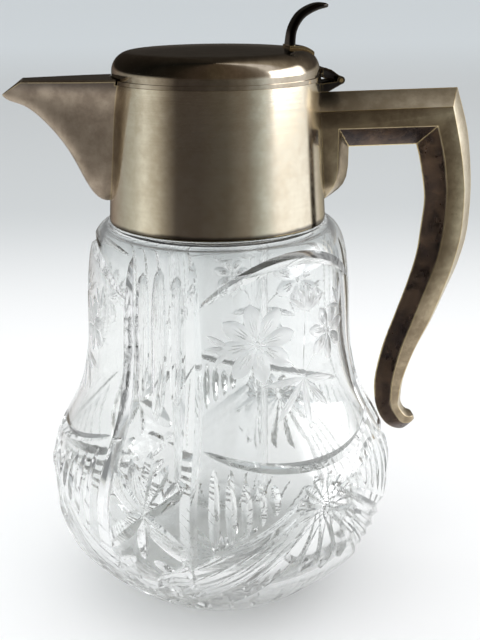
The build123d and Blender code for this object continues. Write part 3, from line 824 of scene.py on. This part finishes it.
cutPattern = {
    "repeats": 3,
    "panel": -64.0,      # degrees, middle of the first flower panel
    "sharpAt": 17.0,
    # arches over and under a panel: half their span in degrees, middle height, drop of the ends, depth,
    # steps along them, how full the ends are (smaller is fuller)
    "arches": ((44.0, 188.0, 20.0, 2.7, 36, 0.45), (42.0, 92.5, -11.0, 2.16, 32, 0.40)),
    # comb under the lower arch
    "teeth": (18.2, 22.8, 27.4, 32.2, 37.4),
    "teethTop": (88.5, 9.5, 1.3),      # height, rise to the last tooth, how late it rises
    "teethFoot": (73.5, 18.5),
    "toothDepth": 2.2,
    "toothCut": {"steps": 8, "half": 50.0},
    # sweeping bands from the fan down to the column's foot
    "bands": 5,
    "bandStart": (5.0, 1.5, 82.0, 6.5),    # degrees and its step, height and its step down
    "bandEnd": (56.0, 41.0, 8.0),
    "bandFall": 1.7,
    "bandDepth": 2.8,
    "bandCut": {"steps": 24, "half": 64.0, "power": 0.32},
    # fan at the panel's foot: angles and length of its long and short rays
    "fanHeight": 72.0,
    "fanLong": ((-66, -44, -22, 0, 22, 44, 66), 36.0),
    "fanLongCut": {"depth": 3.0, "half": 60.0, "inner": 1.0, "power": 0.4, "skew": 0.5},
    "fanShort": ((-138, -114, -90, 90, 114, 138, 162, -162), 18.0),
    "fanShortCut": {"depth": 2.1, "half": 58.0, "inner": 1.0, "skew": 0.3},
    # column: two stems, three rounded flutes and its stars
    "stems": (14.5, 190.0, 15.0, 12.0),    # degrees aside and height, at the top and at the foot
    "stemCut": {"depth": 3.2, "steps": 44, "half": 54.0, "power": 0.36},
    "flutes": ((-7.8, 183.0, 122.0), (0.0, 186.0, 114.0), (7.8, 183.0, 122.0)),
    "fluteCut": {"depth": 2.2, "steps": 20, "sides": 16, "round": 2.0, "power": 0.25, "endPower": 0.25},
    "starHeight": 73.0,
    "starArms": ((47, 34), (-47, 34), (130, 30), (-130, 30)),
    "armCut": {"depth": 3.1, "half": 58.0, "inner": -3.0, "power": 0.45},
    "starPoints": ((180, 31), (157, 28), (-157, 28), (0, 24)),
    "pointCut": {"depth": 3.1 * 0.85, "half": 50.0, "inner": 0.5},
    "smallStar": (10.0, 43.0, ((55, 13), (-55, 13), (125, 13), (-125, 13))),
    "smallStarCut": {"depth": 3.1 * 0.7, "half": 54.0, "inner": -2.0},
    "footStar": (26.0, ((50, 17), (-50, 17), (130, 17), (-130, 17), (0, 20))),
    "footStarCut": {"depth": 3.1 * 0.7, "half": 52.0, "inner": -2.0},
    # underside and heel
    "baseRays": 16,
    "baseReach": (3.0, 37.0),
    "baseDepth": 2.4,
    "baseGroove": 48.0,
    "baseSteps": 8,
    "heelCuts": 36,
    "heelRows": (7.0, 24.0),
    "heelCut": {"depth": 1.6, "steps": 6, "half": 50.0},
}

engraving = {
    # flowers: degrees from the panel's middle, height, radius, petals, turn
    "flowers": ((-19.9, 151.0, 19.5, 8, 10.0), (16.3, 150.0, 14.0, 7, 0.0)),
    "petalCut": {"depth": 0.8, "half": 50.0, "steps": 10, "sides": 16, "matt": True, "skew": 0.35},
    "petalWidth": 0.30,     # width and inner end as shares of the radius
    "petalFrom": 0.10,
    "petalLines": ((-8.0, 0.74), (0.0, 0.86), (8.0, 0.74)),    # degrees aside, share of the radius
    "petalLineCut": {"depth": 1.25, "half": 34.0, "steps": 4, "matt": True},
    "petalLineFrom": 0.2,
    "eye": 1.6,
    "eyeCut": {"depth": 0.7, "half": 50.0, "steps": 3, "sides": 10, "round": 2.2, "matt": True},
    # leaves: place they grow from, then angle, length and width of each
    "sprays": (
        (1.0, 131.0, ((0, 25, 3.2), (-42, 26, 3.0), (38, 22, 3.0), (-88, 22, 2.8), (78, 20, 2.8))),
        (4.0, 163.0, tuple((angle, 13.0, 2.2) for angle in (150, 180, 205, 120, 235))),
        (26.0, 160.0, tuple((angle, 12.0, 2.2) for angle in (-100, -150, 170))),
        (-31.0, 150.0, tuple((angle, 12.0, 2.2) for angle in (-85, -40, -120))),
    ),
    "leafCut": {"depth": 0.7, "half": 50.0, "sides": 12, "matt": True, "power": 0.6},
    # lines of a leaf: degrees aside, its reach and start as shares of the leaf's length, depth
    "leafLines": ((0.0, 0.95, 0.0, 0.95), (-5.0, 0.8, 0.15, 0.85), (5.0, 0.8, 0.15, 0.85)),
    "leafLineCut": {"half": 30.0, "steps": 4, "matt": True},
    "stalks": ((-18.0, 149.0), (15.0, 147.0), (3.0, 172.0)),
    "stalkCut": {"depth": 0.5, "half": 34.0, "bow": 3.0, "matt": True},
}


def cutPanel(middle, p):
    for span, high, drop, depth, steps, power in p["arches"]:
        cutCurve(lambda s: (middle - span + 2 * span * s, high - drop * (2 * s - 1) ** 2), depth, steps,
                 power=power)
    top, rise, late = p["teethTop"]
    foot, fall = p["teethFoot"]
    first, firstStep, high, highStep = p["bandStart"]
    last, low, lowStep = p["bandEnd"]
    for side in (-1, 1):
        for index, aside in enumerate(p["teeth"]):
            share = index / (len(p["teeth"]) - 1)
            turn = middle + side * aside
            cutLine((turn, top + rise * share ** late), (turn, foot - fall * share), p["toothDepth"],
                    **p["toothCut"])
        for index in range(p["bands"]):
            start, end = high - highStep * index, low - lowStep * index
            near = first + firstStep * index
            cutCurve(lambda s: (middle + side * (near + (last - near) * s),
                                end + (start - end) * (1 - s) ** p["bandFall"]),
                     p["bandDepth"], **p["bandCut"])
    centre = (middle, p["fanHeight"])
    for rays in ("fanLong", "fanShort"):
        angles, length = p[rays]
        cutRays(centre, [(angle, length) for angle in angles], **p[rays + "Cut"])


def cutFlower(centre, radius, petals, turn, e):
    for index in range(petals):
        angle = turn + 360.0 * index / petals
        cutRays(centre, [(angle, radius)], round=radius * e["petalWidth"], inner=radius * e["petalFrom"],
                **e["petalCut"])
        for lean, reach in e["petalLines"]:
            cutRays(centre, [(angle + lean, radius * reach)], inner=radius * e["petalLineFrom"],
                    **e["petalLineCut"])
    cutRays(centre, [(0, e["eye"])], inner=-e["eye"], **e["eyeCut"])


def cutLeaf(centre, angle, length, width, e):
    cutRays(centre, [(angle, length)], round=width, **e["leafCut"])
    for lean, reach, start, depth in e["leafLines"]:
        cutRays(centre, [(angle + lean, length * reach)], depth, inner=length * start, **e["leafLineCut"])


def cutSprays(middle, e):
    # leaves, and the thin stalks that join the two flowers
    for aside, z, leaves in e["sprays"]:
        for angle, length, width in leaves:
            cutLeaf((middle + aside, z), angle, length, width, e)
    aside, z, _ = e["sprays"][0]
    for toward, high in e["stalks"]:
        cutLine((middle + aside, z), (middle + toward, high), **e["stalkCut"])


def cutBase(p):
    # star ground into the underside, and short cuts round the heel
    down = Vector((0.0, 0.0, -1.0))
    near, far = p["baseReach"]
    steps = p["baseSteps"]
    for index in range(p["baseRays"]):
        turn = math.tau * index / p["baseRays"]
        out = Vector((math.cos(turn), math.sin(turn), 0.0))
        spots = []
        for step in range(steps + 1):
            share = step / steps
            depth = p["baseDepth"] * taper(share) - wheel["rayRunOut"] * (1.0 - taper(share))
            spots.append((out * (near + (far - near) * share), down, depth))
        sweepSpots(spots, half=p["baseGroove"])
    low, high = p["heelRows"]
    for index in range(p["heelCuts"]):
        turn = 360.0 * (index + 0.5) / p["heelCuts"]
        cutLine((turn, low), (turn, high), **p["heelCut"])


def cutColumn(middle, p):
    topAside, top, footAside, foot = p["stems"]
    for side in (-1, 1):
        cutLine((middle + side * topAside, top), (middle + side * footAside, foot), **p["stemCut"])
    for aside, high, low in p["flutes"]:
        cutLine((middle + aside, high), (middle + aside, low), **p["fluteCut"])
    centre = (middle, p["starHeight"])
    cutRays(centre, p["starArms"], **p["armCut"])
    cutRays(centre, p["starPoints"], **p["pointCut"])
    aside, z, rays = p["smallStar"]
    for side in (-1, 1):
        cutRays((middle + side * aside, z), rays, **p["smallStarCut"])
    z, rays = p["footStar"]
    cutRays((middle, z), rays, **p["footStarCut"])


def cutGlass(shape, p, e):
    blank = glassBlank(shape)
    glass = finishMesh(blank, "cut_glass_body", [finishes["cutCrystal"], finishes["mattEngraving"]])
    step = 360.0 / p["repeats"]
    for index in range(p["repeats"]):
        middle = p["panel"] + step * index
        cutPanel(middle, p)
        cutColumn(middle + step / 2, p)
        for aside, z, radius, petals, turn in e["flowers"]:
            cutFlower((middle + aside, z), radius, petals, turn, e)
        cutSprays(middle, e)
    cutBase(p)
    group = bpy.data.collections.new("cutters")
    scene.collection.children.link(group)
    for bm, matt in cutters:
        bmesh.ops.recalc_face_normals(bm, faces=bm.faces)
        mesh = bpy.data.meshes.new("cutter")
        bm.to_mesh(mesh)
        bm.free()
        mesh.materials.append(finishes["mattEngraving" if matt else "cutCrystal"])
        group.objects.link(bpy.data.objects.new("cutter", mesh))
    mod = glass.modifiers.new("cuts", "BOOLEAN")
    mod.operation = "DIFFERENCE"
    mod.operand_type = "COLLECTION"
    mod.collection = group
    mod.solver = "MANIFOLD"
    mod.material_mode = "TRANSFER"
    done = meshAfter(glass)
    glass.modifiers.clear()
    old = glass.data
    done.name = "cut_glass_body"
    glass.data = done
    bpy.data.meshes.remove(old)
    for cutter in list(group.objects):
        bpy.data.objects.remove(cutter)
    bpy.data.collections.remove(group)
    done.transform(Matrix.Scale(mm, 4))
    done.shade_smooth()
    done.set_sharp_from_angle(angle=math.radians(p["sharpAt"]))
    print("glass cut:", len(cutters), "cuts,", len(done.polygons), "faces")
    return glass


# handle: two pressed halves and a cast curl

handleFinishes = [finishes["wornSilver"], finishes["tarnishedSilver"], finishes["rubbedSilver"]]
handleShape = {
    # each row: outer ridge, front face's outer edge, its inner edge, inner ridge (x and z), half depth
    "corner": (122.6, 257.3, 117.3, 249.0, 110.0, 239.7, 102.0, 229.5, 9.6),
    "collarEnd": (49.2, 256.9, 49.2, 248.4, 50.0, 239.9, 50.5, 229.5, 9.6),
    "sweep": (
        (128.6, 237.5, 121.7, 231.0, 113.2, 228.0, 103.9, 223.0, 9.6),
        (131.3, 220.0, 124.3, 216.5, 115.5, 214.5, 106.1, 212.0, 9.6),
        (132.4, 202.6, 125.5, 203.0, 116.4, 202.5, 107.4, 200.6, 9.5),
        (131.2, 182.0, 124.8, 184.5, 115.6, 186.5, 106.1, 187.4, 9.3),
        (126.8, 165.5, 121.3, 168.0, 112.8, 171.0, 104.1, 172.0, 9.1),
        (120.6, 150.7, 116.2, 153.0, 107.6, 156.0, 99.4, 156.0, 8.7),
        (113.9, 135.5, 110.2, 138.0, 102.2, 141.0, 93.6, 140.0, 8.1),
        (105.6, 119.5, 102.6, 122.0, 96.0, 124.0, 87.2, 122.0, 7.5),
        (99.9, 104.0, 96.8, 105.5, 91.8, 107.0, 83.6, 104.0, 6.9),
        (98.5, 93.0, 95.0, 92.5, 91.0, 93.0, 84.3, 91.5, 6.5),
    ),
    "curl": (
        (99.8, 88.3, 97.7, 86.4, 94.4, 85.0, 87.8, 82.2, 6.2),
        (101.7, 86.4, 100.6, 83.8, 98.4, 80.6, 93.2, 76.4, 5.9),
        (103.4, 85.6, 103.4, 83.3, 102.9, 80.0, 100.2, 74.6, 5.2),
        (104.7, 84.6, 105.1, 83.3, 105.6, 81.3, 105.9, 78.8, 3.4),
    ),
    # each row: height, front face's edge, ridge (x), share of the half depth
    "leg": (
        (246.0, 59.0, 66.9, 1.0), (229.5, 59.0, 66.9, 1.0), (220.0, 58.9, 66.7, 1.0),
        (214.5, 58.1, 65.9, 1.0), (210.8, 56.6, 64.2, 0.98), (208.2, 54.6, 61.7, 0.94),
        (206.0, 53.2, 58.6, 0.84), (204.2, 52.3, 55.4, 0.62), (203.2, 51.8, 53.3, 0.3),
    ),
    "legRoot": (0.9, 264.0, 0.0512),   # how far the leg is let into the collar, the collar's seam and slope
    "seam": 50.0,                      # collar's radius at its seam
    "legDepth": 9.6,
    "step": 0.55,
    "roundOver": 0.32,
    "end": (91.3, 93.2),               # heights of the joint with the curl, left square
    "roundFrom": 24.0,
}


def handleRing(row, side, step):
    ox, oz, fx, fz, gx, gz, rx, rz, depth = row
    lean = Vector((rx - gx, 0.0, rz - gz)).normalized() * step
    return [Vector((ox, 0.0, oz)), Vector((fx, side * depth, fz)), Vector((gx, side * depth, gz)),
            Vector((gx + lean.x, side * (depth - step), gz + lean.z)), Vector((rx, 0.0, rz))]


def handleHalf(shape, side, name):
    sweep = smoothRun((shape["corner"],) + shape["sweep"], 4)
    rings = [handleRing(row, side, shape["step"]) for row in [shape["collarEnd"]] + sweep]
    arm = skinRings(rings, paint=(2, 0, 0, 1, 0))
    legRings = []
    letIn, seamHeight, slope = shape["legRoot"]
    for z, face, ridge, share in shape["leg"]:
        depth = side * shape["legDepth"] * share
        inside = shape["seam"] + (seamHeight - z) * slope - letIn
        places = ((inside, 0.0), (inside, depth), (max(face, inside + 0.05), depth), (ridge, 0.0))
        legRings.append([Vector((x, y, z)) for x, y in places])
    leg = skinRings(legRings)
    bm = joinSolids(arm, leg, name)
    bevelSharp(bm, shape["roundFrom"], shape["roundOver"], *shape["end"])
    return finishMm(bm, name, handleFinishes, sharpAt=40.0)


def handleCurl(shape, name):
    rows = smoothRun((shape["sweep"][-2], shape["sweep"][-1]) + shape["curl"], 5)[5:]
    rings = []
    for row in rows:
        near = handleRing(row, -1, shape["step"])
        far = handleRing(row, 1, shape["step"])
        rings.append(near + far[-2:0:-1])
    bm = skinRings(rings, paint=(2, 0, 0, 1, 1, 0, 0, 2))
    bevelSharp(bm, shape["roundFrom"], shape["roundOver"], *shape["end"])
    return finishMm(bm, name, handleFinishes, sharpAt=40.0)


handleHalves = (("handle_half_near", -1, "handle_near_half"), ("handle_half_far", 1, "handle_far_half"))
for half, side, node in handleHalves:
    piece = handleHalf(handleShape, side, half)
    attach(piece, "jug")
    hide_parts(node)
curl = handleCurl(handleShape, "handle_curl")
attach(curl, "jug")
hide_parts("handle_scroll")
print("handle made")


# thumb lever: one bent and tapered strip with rounded edges

leverShape = {
    # each row: middle of the strip (x and z), thickness, half width, in mm
    "rows": (
        (36.5, 279.6, 3.6, 6.6), (36.7, 282.6, 3.3, 6.5), (37.3, 286.2, 3.1, 6.4), (38.9, 290.0, 3.2, 6.3),
        (41.6, 293.6, 3.4, 6.2), (45.4, 296.1, 3.5, 6.1), (49.3, 297.6, 3.3, 5.9), (52.4, 298.0, 2.7, 5.3),
        (54.3, 297.9, 1.6, 3.8), (54.9, 297.8, 0.5, 1.5),
    ),
    "corners": 16,
    "square": 0.45,   # smaller is squarer
}


def thumbLever(shape, name):
    rows = smoothRun(shape["rows"], 5)
    rings = []
    for index, (x, z, thick, half) in enumerate(rows):
        before, after = rows[max(index - 1, 0)], rows[min(index + 1, len(rows) - 1)]
        along = Vector((after[0] - before[0], 0.0, after[1] - before[1])).normalized()
        across = Vector((-along.z, 0.0, along.x))
        ring = []
        for step in range(shape["corners"]):
            turn = math.tau * (step + 0.5) / shape["corners"]
            u, v = math.cos(turn), math.sin(turn)
            u = math.copysign(abs(u) ** shape["square"], u) * half
            v = math.copysign(abs(v) ** shape["square"], v) * thick / 2
            ring.append(Vector((x, 0.0, z)) + across * v + Vector((0.0, u, 0.0)))
        rings.append(ring)
    bm = skinRings(rings)
    return finishMm(bm, name, [finishes["blackSteel"]], sharpAt=50.0)


lever = thumbLever(leverShape, "lever_strip")
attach(lever, "lid")
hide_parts("thumb_lever")
print("thumb lever made")


# hinge leaf on the lid: a cast bracket with two arms, each ending in a knuckle

leafShape = {
    "arm": ((50.2, 266.5), (50.2, 268.9), (52.4, 269.1), (54.2, 268.3), (56.0, 268.0), (58.0, 266.6),
            (59.9, 265.2), (59.9, 264.5), (59.05, 264.1), (58.7, 263.2), (58.4, 262.3), (56.6, 263.0),
            (54.4, 263.2), (52.6, 263.9), (51.6, 265.0), (51.5, 266.5)),
    "armMiddles": (-3.6, 3.6),
    "armWidth": 3.45,
    "pin": (60.0, 263.2),
    "knuckle": (0.95, 1.9),    # bore and outside
    "knuckleSteps": 40,
    "plate": (50.0, 51.9, 266.5, 269.0, 20.0),  # inner and outer radius, low, high, degrees it spans
    "plateSteps": 16,
    "roundFrom": 30.0,
    "roundOver": 0.25,
}


def extrudeOutline(points, low, high):
    bm = bmesh.new()
    face = bm.faces.new([bm.verts.new((x, low, z)) for x, z in points])
    made = bmesh.ops.extrude_face_region(bm, geom=[face])["geom"]
    bmesh.ops.translate(bm, vec=(0.0, high - low, 0.0), verts=only(made, bmesh.types.BMVert))
    bmesh.ops.recalc_face_normals(bm, faces=bm.faces)
    return bm


def knuckleTube(shape, low, high):
    pinX, pinZ = shape["pin"]
    bore, outside = shape["knuckle"]
    bm = bmesh.new()
    section = ((bore, low), (outside, low), (outside, high), (bore, high))
    verts = [bm.verts.new((pinX + r, y, pinZ)) for r, y in section]
    edges = [bm.edges.new(pair) for pair in zip(verts, verts[1:] + verts[:1])]
    bmesh.ops.spin(bm, geom=verts + edges, cent=(pinX, 0, pinZ), axis=(0, 1, 0), angle=math.tau,
                   steps=shape["knuckleSteps"], use_merge=True)
    bmesh.ops.remove_doubles(bm, verts=bm.verts, dist=joinedMm)
    bmesh.ops.recalc_face_normals(bm, faces=bm.faces)
    return bm


def lidLeaf(shape, name):
    inner, outer, low, high, wide = shape["plate"]
    bm = bmesh.new()
    corners = ((inner, 0, low), (outer, 0, low), (outer, 0, high), (inner, 0, high))
    bm.faces.new([bm.verts.new(corner) for corner in corners])
    aside = Matrix.Rotation(math.radians(-wide / 2), 3, "Z")
    bmesh.ops.rotate(bm, cent=(0, 0, 0), matrix=aside, verts=bm.verts)
    bmesh.ops.spin(bm, geom=bm.faces[:], cent=(0, 0, 0), axis=(0, 0, 1), angle=math.radians(wide),
                   steps=shape["plateSteps"], use_duplicate=False)
    bmesh.ops.recalc_face_normals(bm, faces=bm.faces)
    for middle in shape["armMiddles"]:
        low, high = middle - shape["armWidth"] / 2, middle + shape["armWidth"] / 2
        bm = joinSolids(bm, extrudeOutline(shape["arm"], low, high), name)
        bm = joinSolids(bm, knuckleTube(shape, low, high), name)
    bevelSharp(bm, shape["roundFrom"], shape["roundOver"])
    return finishMm(bm, name, [finishes["darkSilver"]], sharpAt=40.0)


leaf = lidLeaf(leafShape, "lid_hinge_leaf")
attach(leaf, "lid")
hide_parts("hinge_lid_leaf")
print("lid's hinge leaf made,", len(leaf.data.polygons), "faces")


# dark ring where the collar's foot meets the glass: painted shade under the collar's edge

shadeRingShape = {
    "inner": 47.6,
    "outer": 53.25,
    "low": 196.75,
    "high": 197.5,
    "steps": 160,
    "roundFrom": 30.0,
    "roundOver": 0.15,
}


def footShadeRing(shape, name):
    inner, outer, low, high = shape["inner"], shape["outer"], shape["low"], shape["high"]
    corners = ((inner, low), (outer, low), (outer, high), (inner, high), (inner, low))
    bm = spinProfile(corners, shape["steps"])
    bevelSharp(bm, shape["roundFrom"], shape["roundOver"])
    return finishMm(bm, name, [finishes["blackSteel"]])


# a dark piece that stands in for the shade under the collar's foot
seam = footShadeRing(shadeRingShape, "collar_foot_shade_ring")
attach(seam, "jug")
print("foot seam made")

glass = cutGlass(glassShape, cutPattern, engraving)
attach(glass, "jug")
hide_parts("glass_body")

addRoom(roomValues)
addOverhead(overheadValues)
addFloor(floorValues)
scene.view_settings.view_transform = "Standard"
lightPaths = {
    "max_bounces": 24,
    "transmission_bounces": 20,
    "glossy_bounces": 20,
    "sample_clamp_indirect": 6.0,
}
for setting, value in lightPaths.items():
    setattr(scene.cycles, setting, value)
print("room, floor and light placed")
